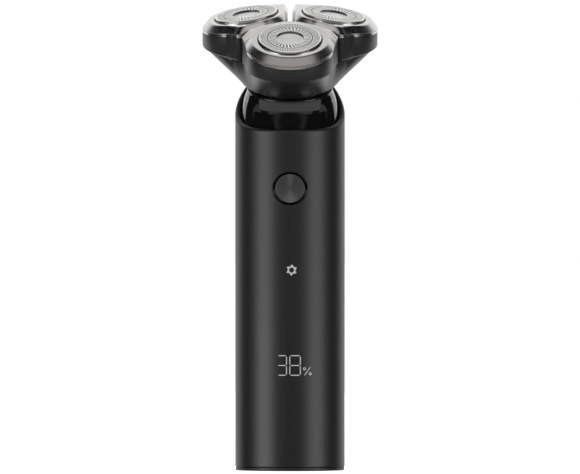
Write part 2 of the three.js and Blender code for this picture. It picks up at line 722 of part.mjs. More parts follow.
// The carrier that slides in the cover's bore and holds a cutter up against its cap.
function floatRing() {
  const [z0, z1] = [-3.9, -2.5];
  const spokes = [0, 1, 2].map((i) =>
    block([5.2, 9.2], [-0.9, 0.9], [z0, z1]).rotateZ((i * 2 * Math.PI) / 3 + Math.PI / 2),
  );
  return join(ring(8.9, 10.9, z0, z1, 24), ring(4.5, 5.6, z0, z1, 16), ...spokes);
}

// ---------------------------------------------------------------- assembly

const shaver = new THREE.Group();

function add(parent, name, geometry, material) {
  const mesh = new THREE.Mesh(geometry, material);
  mesh.name = name;
  parent.add(mesh);
}

function addHandle(group) {
  add(group, "body_shell", bodyShell(), satinBlackMetal);
  add(group, "base_cap", baseCap(), satinBlackPlastic);
  add(group, "base_seal", baseSeal(), rubber);
  add(group, "charge_port", chargePort(), plainSteel);
  add(group, "charge_port_tongue", chargePortTongue(), satinBlackPlastic);
  add(group, "chassis", chassis(), greyPlastic);
  add(group, "battery", battery(), cellWrap);
  add(group, "battery_lead_positive", batteryLeadPositive(), redWire);
  add(group, "battery_lead_negative", batteryLeadNegative(), rubber);
  add(group, "main_board", mainBoard(), boardGreen);
  add(group, "power_switch", powerSwitch(), plainSteel);
  add(group, "display_module", displayModule(), whitePlastic);
  add(group, "display_light_guide", displayLightGuide(), clearPlastic);
  add(group, "indicator_light_guide", indicatorLightGuide(), clearPlastic);
  add(group, "button_bezel", buttonBezel(), glossBlack);
  add(group, "button_membrane", buttonMembrane(), rubber);
  add(group, "power_button", powerButton(), spunMetal);
}

function addMotor(group) {
  const axis = new THREE.Group();
  axis.position.y = MOTOR_Y;
  group.add(axis);
  add(axis, "motor_can", motorCan(), plainSteel);
  add(axis, "motor_end_bell", motorEndBell(), whitePlastic);
  add(axis, "motor_mount", motorMount(), greyPlastic);
  add(axis, "motor_screw_left", motorScrew(-SCREW_X), plainSteel);
  add(axis, "motor_screw_right", motorScrew(SCREW_X), plainSteel);
  add(axis, "motor_rotor", motorRotor(), plainSteel);
  add(axis, "drive_coupling", driveCoupling(), whitePlastic);
  add(axis, "shaft_seal", shaftSeal(), rubber);
}

function addNeck(group, head) {
  add(group, "neck_collar", neckCollar(), glossBlack);
  add(group, "neck_seal", neckSeal(), rubber);
  add(head, "tilt_ring", tiltRing(), plainSteel);
  add(head, "head_seat", headSeat(), satinBlackPlastic);
}

function addLobe(head, number) {
  const lobe = new THREE.Group();
  lobe.rotation.z = ((number - 1) * 2 * Math.PI) / LOBES;
  head.add(lobe);

  const gearPlace = new THREE.Group();
  gearPlace.position.y = -PITCH_R;
  lobe.add(gearPlace);
  add(gearPlace, `drive_gear_${number}`, driveGear(), whitePlastic);
  add(gearPlace, `spindle_spring_${number}`, spindleSpring(), plainSteel);

  const podPlace = new THREE.Group();
  podPlace.position.set(0, -PITCH_R, FLAT_A);
  lobe.add(podPlace);
  add(podPlace, `pod_${number}`, pod(), satinBlackPlastic);
  add(podPlace, `pod_pin_${number}`, podPin(), plainSteel);
  add(podPlace, `steel_frame_${number}`, steelFrame(), brushedSteel);

  const cutterPlace = new THREE.Group();
  cutterPlace.rotation.x = CUTTER_LEAN;
  podPlace.add(cutterPlace);
  add(cutterPlace, `float_ring_${number}`, floatRing(), greyPlastic);
  add(cutterPlace, `foil_cap_${number}`, foilCap(), brushedSteel);
  add(cutterPlace, `inner_cutter_${number}`, innerCutter(), brushedSteel);
}

function addHead(head) {
  add(head, "head_housing", headHousing(), satinBlackPlastic);
  add(head, "magnet_left", magnet(-MAGNET_X), plainSteel);
  add(head, "magnet_right", magnet(MAGNET_X), plainSteel);
  add(head, "gear_plate", gearPlate(), greyPlastic);
  add(head, "sun_gear", sunGear(), whitePlastic);
  add(head, "pod_bridge", podBridge(), plainSteel);
  for (let number = 1; number <= LOBES; number++) addLobe(head, number);
}

const head = new THREE.Group();
head.position.copy(HEAD_BASE);
head.rotation.x = HEAD_LEAN;
shaver.add(head);

addHandle(shaver);
addMotor(shaver);
addNeck(shaver, head);
addHead(head);

export default shaver;
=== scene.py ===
"""Looks for a rotary shaver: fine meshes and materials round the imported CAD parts.

Sizes are in millimetres, and each piece is scaled to metres when its mesh is made. The head's
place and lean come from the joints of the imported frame. The cutters' own lean is CUTTER_LEAN.
"""
import json
import math

import bmesh
import bpy
from mathutils import Matrix, Vector


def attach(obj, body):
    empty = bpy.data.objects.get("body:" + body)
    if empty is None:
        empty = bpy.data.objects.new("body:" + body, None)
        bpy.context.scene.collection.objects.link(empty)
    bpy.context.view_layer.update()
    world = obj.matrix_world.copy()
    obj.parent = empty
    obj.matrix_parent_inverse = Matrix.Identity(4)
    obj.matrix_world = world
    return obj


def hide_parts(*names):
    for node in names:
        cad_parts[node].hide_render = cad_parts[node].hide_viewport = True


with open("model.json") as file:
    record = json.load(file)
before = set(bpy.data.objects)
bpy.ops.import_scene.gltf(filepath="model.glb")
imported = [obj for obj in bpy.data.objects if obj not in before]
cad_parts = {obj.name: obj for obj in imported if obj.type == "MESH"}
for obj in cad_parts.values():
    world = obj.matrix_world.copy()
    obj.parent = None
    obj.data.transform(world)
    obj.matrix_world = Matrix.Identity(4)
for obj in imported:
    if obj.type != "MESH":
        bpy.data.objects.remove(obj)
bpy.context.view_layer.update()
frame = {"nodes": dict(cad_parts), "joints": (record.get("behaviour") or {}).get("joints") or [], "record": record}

MM = 0.001
LOBES = 3

# ---------------------------------------------------------------- the handle's sizes

HANDLE_R = 18.7
HANDLE_IN_R = 17.5
BASE_FLANGE_H = 1.1
SHELL_BOTTOM = 1.25
MOUTH_FRONT_Z = 116.2
MOUTH_RISE = 0.01744
MOUTH_EASE = 0.02
MOUTH_EASE_Y = 9.0
LIP_WIDTH = 1.85
LIP_HEIGHT = 0.9
BUTTON_Z = 96.0
BUTTON_R = 5.0
BUTTON_HOLE = (6.12, 5.66)
PORT_Y = 9.0
PORT_WIDTH = 9.7
PORT_HEIGHT = 3.9
MARK_PROUD = 0.012
MARK_DEEP = 0.05

# ---------------------------------------------------------------- the head's sizes

GIMBAL_A = -3.0
NECK_TOP_A = -1.2
NECK_TOP_R = 14.6
HEAD_BASE_R = 15.4
HOUSING_BOTTOM_A = 0.5
HOUSING_BULGE = 0.3
HOUSING_WALL = 1.2
PART_LINE_A = 10.8
PITCH_R = 17.2
LOBE_R = 15.0
LOBE_CORNER = (16.9, 9.76)
LOBE_END_NORMAL = (0.9486, 0.3164)
LOBE_END_V = 15.0
SEAM_HALF = 0.8
FLAT_A = 21.95
CUTTER_LEAN = math.radians(9.3)
BEVEL_OUT = 2.0
BEVEL_END = 2.3
BEVEL_SEAM = 1.05
BEVEL_H = 2.3
FRAME_H = 3.5
FRAME_BORE_R = 11.05
POD_WALL = 0.8
POD_PLATE = 1.4
POD_CHAMFER = 0.5
POD_CLEARANCE = 0.5
GAP = 0.3
CAP_R = 10.7
CAP_TOP = 0.65
CAP_FLOOR = 0.1


# ---------------------------------------------------------------- places

joints = {joint["name"]: joint for joint in frame["joints"]}
head_up = Vector(joints["head_pull_off"]["axis"])
gimbal = Vector(joints["head_pitch"]["pos_m"]) / MM
head_base = gimbal - head_up * GIMBAL_A


def placed(x_axis, z_axis, origin):
    """A frame with those X and Z axes, as a matrix in millimetres."""
    y_axis = z_axis.cross(x_axis)
    rows = [[x_axis[i], y_axis[i], z_axis[i], origin[i]] for i in range(3)]
    return Matrix([*rows, [0, 0, 0, 1]])


HEAD = placed(Vector((1, 0, 0)), head_up, head_base)
WORLD = Matrix.Identity(4)


def lobe_frame(number):
    turn = Matrix.Rotation((number - 1) * 2 * math.pi / LOBES, 4, "Z")
    return HEAD @ turn @ Matrix.Translation((0, -PITCH_R, FLAT_A))


def cutter_frame(number):
    return lobe_frame(number) @ Matrix.Rotation(CUTTER_LEAN, 4, "X")


def mouth_z(y):
    rise = MOUTH_RISE * max(y + HANDLE_R, 0) ** 2
    return MOUTH_FRONT_Z + rise - MOUTH_EASE * max(y - MOUTH_EASE_Y, 0) ** 2


# ---------------------------------------------------------------- outlines of the head


def smooth_min(a, b, blend):
    near = max(blend - abs(a - b), 0) / blend
    return min(a, b) - near * near * blend / 4


def smooth_max(a, b, blend):
    return -smooth_min(-a, -b, blend)


def lobe_distance(u, v, seam_half, bevel):
    """How far a point lies outside one lobe: a disc with its corners filled out to the seams."""
    side = abs(u)
    seam_cos, seam_sin = math.cos(math.pi / LOBES), math.sin(math.pi / LOBES)
    disc = math.hypot(u, v - PITCH_R) - LOBE_R + BEVEL_OUT * bevel
    to_seam = side * seam_cos - v * seam_sin + seam_half + BEVEL_SEAM * bevel
    along_seam = side * seam_sin + v * seam_cos
    to_end = (
        (side - LOBE_CORNER[0]) * LOBE_END_NORMAL[0]
        + (v - LOBE_CORNER[1]) * LOBE_END_NORMAL[1]
        + BEVEL_END * bevel
    )
    corner = smooth_max(
        smooth_max(to_end, v - LOBE_END_V, 1), PITCH_R * seam_cos - along_seam, 1
    )
    return smooth_max(smooth_min(disc, corner, 2), to_seam, 1.5)


def radius_at(distance, level, inside, outside):
    """The radius where a distance reaches a level, found by halving."""
    HALVINGS = 36
    for _ in range(HALVINGS):
        middle = (inside + outside) / 2
        if distance(middle) < level:
            inside = middle
        else:
            outside = middle
    return inside


def lobe_radius(angle, bevel, inset=0.0):
    """A lobe's outline about its own cutter, at an angle from straight outward."""

    def distance(r):
        return lobe_distance(
            r * math.sin(angle), PITCH_R + r * math.cos(angle), SEAM_HALF, bevel
        )

    return radius_at(distance, -inset, 0, 2 * LOBE_R)


def head_radius(angle, inset):
    """The outline of all three lobes together, about the head's axis."""
    sector = 2 * math.pi / LOBES
    folded = angle - sector * round(angle / sector)

    def distance(r):
        return lobe_distance(r * math.sin(folded), r * math.cos(folded), -4, 0)

    return radius_at(distance, -inset, PITCH_R - 4, 2 * PITCH_R + LOBE_R)


# ---------------------------------------------------------------- meshes


def around(count, shape):
    """Points round Z, where shape(angle) gives (radius, height) and angle 0 is the front, -Y."""
    points = []
    for i in range(count):
        angle = 2 * math.pi * i / count
        r, z = shape(angle)
        points.append(Vector((r * math.sin(angle), -r * math.cos(angle), z)))
    return points


def circle(count, radius, z):
    return around(count, lambda angle: (radius, z))


def skin(rings, closed=True, skip=lambda level, i: False):
    """Quads between rings of points. When closed, the last ring joins the first."""
    count = len(rings[0])
    points = [point for ring in rings for point in ring]
    faces = []
    for level in range(len(rings) if closed else len(rings) - 1):
        above = (level + 1) % len(rings)
        for i in range(count):
            if skip(level, i):
                continue
            j = (i + 1) % count
            faces.append(
                (level * count + i, level * count + j, above * count + j, above * count + i)
            )
    return points, faces


def fan_ends(points, faces, count, bottom=None, top=None):
    """Closes a skin's first and last rings with a fan of triangles to a centre point."""
    points, faces = list(points), list(faces)
    last = len(points) - count
    if bottom is not None:
        points.append(bottom)
        faces += [(len(points) - 1, (i + 1) % count, i) for i in range(count)]
    if top is not None:
        points.append(top)
        centre = len(points) - 1
        faces += [(centre, last + i, last + (i + 1) % count) for i in range(count)]
    return points, faces


def arc(centre_r, centre_z, radius, start, end, steps):
    """Points of a round edge as (r, z), with angles in degrees from +r towards +z."""
    points = []
    for i in range(steps + 1):
        angle = math.radians(start + (end - start) * i / steps)
        points.append((centre_r + radius * math.cos(angle), centre_z + radius * math.sin(angle)))
    return points


def lathe_solid(profile, count=96):
    """A turned solid whose profile starts and ends on the axis."""
    inner = profile[1:-1]
    points, faces = skin([circle(count, r, z) for r, z in inner], closed=False)
    return fan_ends(
        points, faces, count, Vector((0, 0, profile[0][1])), Vector((0, 0, profile[-1][1]))
    )


def slot_prism(width, height, z0, z1):
    """An upright prism with round ends, centred on the charging port."""
    STEPS = 16
    radius, half = height / 2, (width - height) / 2
    outline = []
    for centre, start in ((half, -90), (-half, 90)):
        for i in range(STEPS + 1):
            angle = math.radians(start + 180 * i / STEPS)
            x = centre + radius * math.cos(angle)
            outline.append((x, PORT_Y + radius * math.sin(angle)))
    rings = [[Vector((x, y, z)) for x, y in outline] for z in (z0, z1)]
    points, faces = skin(rings, closed=False)
    centre = Vector((0, PORT_Y, 0))
    return fan_ends(
        points,
        faces,
        len(outline),
        centre + Vector((0, 0, z0)),
        centre + Vector((0, 0, z1)),
    )


def make_object(name, shape, place=WORLD):
    """An object in the row frame, from points in millimetres in a place's own axes."""
    points, faces = shape
    mesh = bpy.data.meshes.new(name)
    mesh.from_pydata([place @ point * MM for point in points], [], faces)
    bm = bmesh.new()
    bm.from_mesh(mesh)
    bmesh.ops.remove_doubles(bm, verts=bm.verts, dist=1e-7)
    bmesh.ops.recalc_face_normals(bm, faces=bm.faces)
    bm.to_mesh(mesh)
    bm.free()
    obj = bpy.data.objects.new(name, mesh)
    bpy.context.scene.collection.objects.link(obj)
    return obj


def note_turning(obj, place):
    """Stores each point in a turned piece's own axes, and which way its rings run."""
    RADIUS_SCALE = 20
    mesh = obj.data
    to_place = place.inverted()
    spots = [to_place @ (vertex.co / MM) * MM for vertex in mesh.vertices]
    attribute = mesh.attributes.new("spot", "FLOAT_VECTOR", "POINT")
    attribute.data.foreach_set("vector", [value for spot in spots for value in spot])
    layer = mesh.uv_layers.new(name="turning")
    for polygon in mesh.polygons:
        first = None
        for loop in polygon.loop_indices:
            spot = spots[mesh.loops[loop].vertex_index]
            turn = math.atan2(spot.x, -spot.y) / (2 * math.pi)
            first = turn if first is None else first
            turn -= round(turn - first)
            layer.uv[loop].vector = (turn, math.hypot(spot.x, spot.y) * RADIUS_SCALE)


def bake_modifiers(obj):
    """Turns an object's modifiers into its mesh."""
    depsgraph = bpy.context.evaluated_depsgraph_get()
    mesh = bpy.data.meshes.new_from_object(obj.evaluated_get(depsgraph))
    obj.modifiers.clear()
    old = obj.data
    obj.data = mesh
    bpy.data.meshes.remove(old)


def cut_away(obj, shape, place=WORLD):
    """Cuts a shape out of an object's mesh."""
    tool = make_object("tool", shape, place)
    boolean = obj.modifiers.new("cut", "BOOLEAN")
    boolean.object, boolean.operation, boolean.solver = tool, "DIFFERENCE", "EXACT"
    bpy.context.view_layer.update()
    bake_modifiers(obj)
    bpy.data.objects.remove(tool)


def finish_piece(obj, body, material, replaced=(), sharp=35, place=None):
    if place is not None:
        note_turning(obj, place)
    obj.data.shade_smooth()
    obj.data.set_sharp_from_angle(angle=math.radians(sharp))
    obj.data.materials.clear()
    obj.data.materials.append(material)
    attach(obj, body)
    if replaced:
        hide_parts(*replaced)


# ---------------------------------------------------------------- materials


class Surface:
    """A principled material, with what is the same all over set on the shader itself."""

    def __init__(self, name, colour, roughness, metallic=0.0, **values):
        self.material = bpy.data.materials.new(name)
        self.material.use_nodes = True
        self.tree = self.material.node_tree
        self.shader = self.tree.nodes["Principled BSDF"]
        self.shader.inputs["Base Color"].default_value = (*colour, 1)
        self.shader.inputs["Roughness"].default_value = roughness
        self.shader.inputs["Metallic"].default_value = metallic
        for key, value in values.items():
            self.shader.inputs[key.replace("_", " ")].default_value = value

    def node(self, kind, **values):
        made = self.tree.nodes.new(kind)
        for key, value in values.items():
            setattr(made, key, value)
        return made

    def link(self, start, end):
        self.tree.links.new(start, end)

    def place(self):
        return self.node("ShaderNodeTexCoord").outputs["Object"]

    def noise(self, vector, scale, detail=4.0):
        noise = self.node("ShaderNodeTexNoise")
        noise.inputs["Scale"].default_value = scale
        noise.inputs["Detail"].default_value = detail
        self.link(vector, noise.inputs["Vector"])
        return noise.outputs["Fac"]

    def spread(self, value, low, high):
        """Maps a 0 to 1 value to a range."""
        mapped = self.node("ShaderNodeMapRange")
        mapped.inputs["To Min"].default_value = low
        mapped.inputs["To Max"].default_value = high
        self.link(value, mapped.inputs["Value"])
        return mapped.outputs["Result"]

    def vary_roughness(self, value, low, high):
        self.link(self.spread(value, low, high), self.shader.inputs["Roughness"])

    def vary_colour(self, value, dark, light):
        ramp = self.node("ShaderNodeValToRGB")
        ramp.color_ramp.elements[0].color = (*dark, 1)
        ramp.color_ramp.elements[0].position = 0.3
        ramp.color_ramp.elements[1].color = (*light, 1)
        ramp.color_ramp.elements[1].position = 0.7
        self.link(value, ramp.inputs["Fac"])
        self.link(ramp.outputs["Color"], self.shader.inputs["Base Color"])

    def bump(self, value, depth):
        """Raises the surface by a height in millimetres."""
        bump = self.node("ShaderNodeBump")
        bump.inputs["Strength"].default_value = 1.0
        bump.inputs["Distance"].default_value = depth * MM
        self.link(value, bump.inputs["Height"])
        self.link(bump.outputs["Normal"], self.shader.inputs["Normal"])

    def radius(self, vector):
        """How far a point is from the Z axis."""
        flat = self.node("ShaderNodeVectorMath", operation="MULTIPLY")
        flat.inputs[1].default_value = (1, 1, 0)
        length = self.node("ShaderNodeVectorMath", operation="LENGTH")
        self.link(vector, flat.inputs[0])
        self.link(flat.outputs["Vector"], length.inputs[0])
        return length.outputs["Value"]

    def shade_by_radius(self, shades):
        """Greys that change with the distance from a turned piece's axis, as (radius, grey). The cap's greys hold
        painted shade in its step and groove.
        """
        spot = self.node("ShaderNodeAttribute", attribute_name="spot")
        share = self.node("ShaderNodeMapRange")
        share.inputs["From Max"].default_value = shades[-1][0] * MM
        self.link(self.radius(spot.outputs["Vector"]), share.inputs["Value"])
        ramp = self.node("ShaderNodeValToRGB")
        stops = ramp.color_ramp.elements
        stops.remove(stops[1])
        for i, (r, grey) in enumerate(shades):
            stop = stops[0] if i == 0 else stops.new(r / shades[-1][0])
            stop.position = r / shades[-1][0]
            stop.color = (grey, grey * 0.993, grey * 0.98, 1)
        self.link(share.outputs["Result"], ramp.inputs["Fac"])
        self.link(ramp.outputs["Color"], self.shader.inputs["Base Color"])

    def rings(self, scale):
        """Noise that only changes with the distance from a turned piece's axis."""
        spot = self.node("ShaderNodeAttribute", attribute_name="spot")
        noise = self.node("ShaderNodeTexNoise", noise_dimensions="1D")
        noise.inputs["Scale"].default_value = scale
        noise.inputs["Detail"].default_value = 3.0
        self.link(self.radius(spot.outputs["Vector"]), noise.inputs["W"])
        return noise.outputs["Fac"]


def moulded(name, colour, roughness, grain=900.0, depth=0.004):
    """Moulded plastic: a fine even grain, slightly uneven in gloss."""
    surface = Surface(name, colour, roughness)
    place = surface.place()
    surface.bump(surface.noise(place, grain), depth)
    surface.vary_roughness(surface.noise(place, 60.0), roughness - 0.03, roughness + 0.03)
    return surface.material


def make_body_finish():
    """The shell's satin black coating, with a very fine grain."""
    surface = Surface("satin_black_coating", (0.0025, 0.0025, 0.0026), 0.42)
    place = surface.place()
    surface.bump(surface.noise(place, 5000.0, detail=2.0), 0.0012)
    surface.vary_roughness(surface.noise(place, 90.0), 0.40, 0.44)
    return surface.material


def make_gloss_black():
    surface = Surface("piano_black", (0.0032, 0.0032, 0.0032), 0.035, Coat_Weight=0.3)
    surface.shader.inputs["Coat Roughness"].default_value = 0.02
    place = surface.place()
    surface.vary_roughness(surface.noise(place, 140.0), 0.025, 0.05)
    surface.bump(surface.noise(place, 55.0, detail=1.0), 0.002)
    return surface.material


def make_brushed_steel(name, colour, roughness, anisotropy=0.5, shades=()):
    """Metal brushed in rings. Shades, where given, stand in for the colour when rendered; the cap's carry painted
    shade in its step and groove.
    """
    RING_SCALE = 9000.0
    surface = Surface(name, colour, roughness, metallic=1.0, Anisotropic=anisotropy)
    tangent = surface.node("ShaderNodeTangent", direction_type="UV_MAP", uv_map="turning")
    surface.link(tangent.outputs["Tangent"], surface.shader.inputs["Tangent"])
    rings = surface.rings(RING_SCALE)
    surface.vary_roughness(rings, roughness - 0.05, roughness + 0.05)
    if shades:
        surface.shade_by_radius(shades)
    else:
        surface.vary_colour(rings, [c * 0.93 for c in colour], [min(c * 1.05, 1) for c in colour])
    surface.bump(rings, 0.003)
    return surface.material


def make_machined(name, colour, roughness):
    """Plain machined or drawn metal with faint blotches."""
    surface = Surface(name, colour, roughness, metallic=1.0)
    place = surface.place()
    surface.vary_roughness(surface.noise(place, 400.0), roughness - 0.06, roughness + 0.08)
    surface.vary_colour(surface.noise(place, 120.0), [c * 0.85 for c in colour], colour)
    surface.bump(surface.noise(place, 1500.0), 0.003)
    return surface.material


def make_lit(name, colour, strength):
    """A lit mark that shines through the shell."""
    surface = Surface(name, [c * 0.1 for c in colour], 0.5)
    surface.shader.inputs["Emission Color"].default_value = (*colour, 1)
    place = surface.place()
    glow = surface.spread(surface.noise(place, 300.0), strength * 0.94, strength * 1.06)
    surface.link(glow, surface.shader.inputs["Emission Strength"])
    return surface.material


body_finish = make_body_finish()
gloss_black = make_gloss_black()
# A light grey for the neck's small bumps, far lighter than the black collar: a painted reflection.
neck_bump_painted_reflection = moulded("neck_bump_painted_reflection", (0.22, 0.22, 0.22), 0.3)
bezel_black = moulded("bezel_black", (0.0006, 0.0006, 0.0006), 0.16)
black_plastic = moulded("satin_black_plastic", (0.006, 0.006, 0.0061), 0.38)
base_plastic = moulded("base_black_plastic", (0.003, 0.003, 0.0031), 0.45)
frame_steel = make_brushed_steel("frame_steel", (0.60, 0.59, 0.58), 0.24)

# The cap's greys by radius. The dark stops at its step and its groove are painted shade, on top of the shadow
# their cuts cast. The sunk middle and the rim's edge are a darker grey than the lands.
CAP_GREYS_WITH_PAINTED_SHADE = (
    (0.0, 0.56),
    (4.5, 0.6),
    (4.6, 0.14),
    (4.73, 0.14),
    (4.8, 0.88),
    (7.44, 0.88),
    (7.5, 0.16),
    (7.86, 0.16),
    (7.92, 0.88),
    (10.4, 0.88),
    (10.7, 0.6),
)

# The cap's steel carries painted shade in its step and its groove.
cap_steel = make_brushed_steel("cap_steel", (0.66, 0.655, 0.645), 0.27, shades=CAP_GREYS_WITH_PAINTED_SHADE)
button_metal = make_brushed_steel("button_metal", (0.145, 0.145, 0.148), 0.34, anisotropy=0.8)
lit_mark = make_lit("lit_mark", (0.62, 0.62, 0.62), 0.5)

# ---------------------------------------------------------------- the handle


def make_body_shell():
    """The round shell with its slanted mouth, a rounded lip and the button's oval hole."""
    COUNT, LIP_STEPS = 160, 10
    FOOT, FOOT_EDGE = 0.22, 0.06
    LIP_DEPTH, STEP_DEPTH = 3.5, 4.5
    HOLE_DEEP, HOLE_LONG = 4, 8
    lip_r = HANDLE_R - LIP_WIDTH / 2

    def level(radius, height_of):
        return around(COUNT, lambda a: (radius, height_of(-radius * math.cos(a))))

    rings = [
        circle(COUNT, HANDLE_IN_R, SHELL_BOTTOM),
        circle(COUNT, HANDLE_R - FOOT, SHELL_BOTTOM),
        circle(COUNT, HANDLE_R - FOOT_EDGE, SHELL_BOTTOM + FOOT_EDGE),
        circle(COUNT, HANDLE_R, SHELL_BOTTOM + FOOT),
    ]
    for i in range(LIP_STEPS + 1):
        angle = math.pi * i / LIP_STEPS
        radius = lip_r + LIP_WIDTH / 2 * math.cos(angle)
        rise = LIP_HEIGHT * (math.sin(angle) - 1)
        rings.append(level(radius, lambda y, rise=rise: mouth_z(y) + rise))
    inner_r = HANDLE_R - LIP_WIDTH
    rings.append(level(inner_r, lambda y: mouth_z(y) - LIP_DEPTH))
    rings.append(level(HANDLE_IN_R, lambda y: mouth_z(y) - STEP_DEPTH))
    shell = make_object("body_shell_fine", skin(rings))
    hole = lathe_solid([(0, 0), (1, 0), (1, HOLE_LONG), (0, HOLE_LONG)], 96)
    stretch = Matrix.Diagonal((BUTTON_HOLE[0], 1, BUTTON_HOLE[1], 1))
    to_front = Matrix.Rotation(math.radians(90), 4, "X")
    place = Matrix.Translation((0, -HANDLE_R + HOLE_DEEP, BUTTON_Z)) @ stretch @ to_front
    cut_away(shell, hole, place)
    finish_piece(shell, "handle", body_finish, ["body_shell"])
    round_wall_normals(shell.data)


def round_wall_normals(mesh):
    """Gives the straight outer wall the normals of a true cylinder, so that it shades evenly."""
    normals = [Vector(corner.vector) for corner in mesh.corner_normals]
    for polygon in mesh.polygons:
        centre = polygon.center
        outward = Vector((centre.x, centre.y, 0)).normalized()
        on_wall = abs(polygon.normal.z) < 1e-3 and polygon.normal.dot(outward) > 0.99
        if not on_wall or Vector((centre.x, centre.y)).length < (HANDLE_R - 0.1) * MM:
            continue
        for loop in polygon.loop_indices:
            point = mesh.vertices[mesh.loops[loop].vertex_index].co
            normals[loop] = Vector((point.x, point.y, 0)).normalized()
    mesh.normals_split_custom_set(normals)


def make_base_cap():
    """The flat base: a flange with rounded edges, a plug inside the shell and the port."""
    FOOT_ROUND, TOP_ROUND = 0.45, 0.15
    FLAT_MARGIN = 0.6
    PLUG_TOP = 2.6
    plug_r = HANDLE_IN_R - GAP
    edge = HANDLE_R - 0.1
    profile = [
        (0, 0),
        (edge - FLAT_MARGIN, 0),
        *arc(edge - FOOT_ROUND, FOOT_ROUND, FOOT_ROUND, -90, 0, 5),
        *arc(edge - TOP_ROUND, BASE_FLANGE_H - TOP_ROUND, TOP_ROUND, 0, 90, 3),
        (plug_r, BASE_FLANGE_H),
        (plug_r, PLUG_TOP),
        (0, PLUG_TOP),
    ]
    cap = make_object("base_cap_fine", lathe_solid(profile, 128))
    cut_away(cap, slot_prism(PORT_WIDTH, PORT_HEIGHT, -1, PLUG_TOP + 1.4))
    finish_piece(cap, "handle", base_plastic, ["base_cap"])


def make_power_button():
    """A flat cap with a rounded rim and a very slightly dished face."""
    SUNK, DISH, ROUND, BACK = 0.12, 0.108, 0.2, 16.6
    SHARES = (0.94, 0.9, 0.7, 0.5, 0.3, 0.15)
    face = HANDLE_R - SUNK
    rim = BUTTON_R - 0.05
    profile = [(0, BACK), (rim, BACK), (rim, face - ROUND)]
    profile += arc(rim - ROUND, face - ROUND, ROUND, 0, 90, 4)[1:]
    for share in SHARES:
        profile.append((rim * share, face - DISH * (1 - (share / SHARES[0]) ** 2)))
    profile.append((0, face - DISH))
    to_front = placed(Vector((1, 0, 0)), Vector((0, -1, 0)), Vector((0, 0, BUTTON_Z)))
    button = make_object("power_button_fine", lathe_solid(profile, 96), to_front)
    finish_piece(
        button, "button", button_metal, ["power_button"], place=to_front
    )


def make_button_bezel():
    """The gloss ring round the button: an oval outside and a round bore."""
    COUNT = 96
    HOLE_GAP, KEY_GAP = 0.08, 0.16
    hole_x, hole_z = BUTTON_HOLE[0] - HOLE_GAP, BUTTON_HOLE[1] - HOLE_GAP
    bore = BUTTON_R + KEY_GAP

    def ring_at(share, depth):
        points = []
        for i in range(COUNT):
            angle = 2 * math.pi * i / COUNT
            x = (bore + (hole_x - bore) * share) * math.cos(angle)
            z = (bore + (hole_z - bore) * share) * math.sin(angle)
            wall = math.sqrt(HANDLE_R**2 - x * x)
            points.append(Vector((x, -(wall - depth), BUTTON_Z + z)))
        return points

    rings = [
        ring_at(0, 2.2),
        ring_at(0, 0.75),
        ring_at(0.08, 0.6),
        ring_at(0.35, 0.5),
        ring_at(0.75, 0.34),
        ring_at(0.94, 0.22),
        ring_at(1, 0.3),
        ring_at(1, 2.2),
    ]
    bezel = make_object("button_bezel_fine", skin(rings))
    finish_piece(bezel, "handle", bezel_black, ["button_bezel"])


# ---------------------------------------------------------------- the marks on the handle


def on_wall(outline):
    """A thin plate that follows the handle's wall, from a flat outline of (x, z) points."""
    STRIP = 0.2
    bm = bmesh.new()
    bm.faces.new([bm.verts.new((x, 0, z)) for x, z in outline])
    left = min(x for x, z in outline)
    right = max(x for x, z in outline)
    for i in range(1, int((right - left) / STRIP) + 1):
        geometry = bm.verts[:] + bm.edges[:] + bm.faces[:]
        cut_at = (left + i * STRIP, 0, 0)
        bmesh.ops.bisect_plane(bm, geom=geometry, plane_co=cut_at, plane_no=(1, 0, 0))
    walls = bmesh.ops.extrude_face_region(bm, geom=bm.faces[:])
    raised = [item for item in walls["geom"] if isinstance(item, bmesh.types.BMVert)]
    bmesh.ops.translate(bm, verts=raised, vec=(0, -1, 0))
    bm.verts.index_update()
    points = []
    for vertex in bm.verts:
        x, y, z = vertex.co
        radius = HANDLE_R + (MARK_PROUD if y < -0.5 else -MARK_DEEP)
        points.append(Vector((x, -math.sqrt(radius**2 - x * x), z)))
    faces = [tuple(vertex.index for vertex in face.verts) for face in bm.faces]
    bm.free()
    return points, faces


def merge(shapes):
    points, faces = [], []
    for shape_points, shape_faces in shapes:
        start = len(points)
        points += shape_points
        faces += [tuple(start + index for index in face) for face in shape_faces]
    return points, faces


SEGMENTS = {
    "top": ((0, 2), (1, 2)),
    "upper_left": ((0, 1), (0, 2)),
    "upper_right": ((1, 1), (1, 2)),
    "middle": ((0, 1), (1, 1)),
    "lower_left": ((0, 0), (0, 1)),
    "lower_right": ((1, 0), (1, 1)),
    "bottom": ((0, 0), (1, 0)),
}
DIGITS = {
    "3": ("top", "upper_right", "middle", "lower_right", "bottom"),
    "8": tuple(SEGMENTS),
}


def bar(start, end, width, gap):
    """A straight stroke with pointed ends, as an outline counterclockwise."""
    start, end = Vector(start), Vector(end)
    along = (end - start).normalized()
    side = Vector((-along.y, along.x)) * width / 2
    start, end = start + along * gap, end - along * gap
    tip = along * width / 2
    outline = [
        start,
        start + tip - side,
        end - tip - side,
        end,
        end - tip + side,
        start + tip + side,
    ]
    return [(point.x, point.y) for point in outline]


def digit(character, x0, x1, z0, z1):
    width, gap = 0.34, 0.2
    half = width / 2
    xs, zs = (x0 + half, x1 - half), (z0 + half, (z0 + z1) / 2, z1 - half)
    shapes = []
    for segment in DIGITS[character]:
        (ax, az), (bx, bz) = SEGMENTS[segment]
        shapes.append(on_wall(bar((xs[ax], zs[az]), (xs[bx], zs[bz]), width, gap)))
    return merge(shapes)


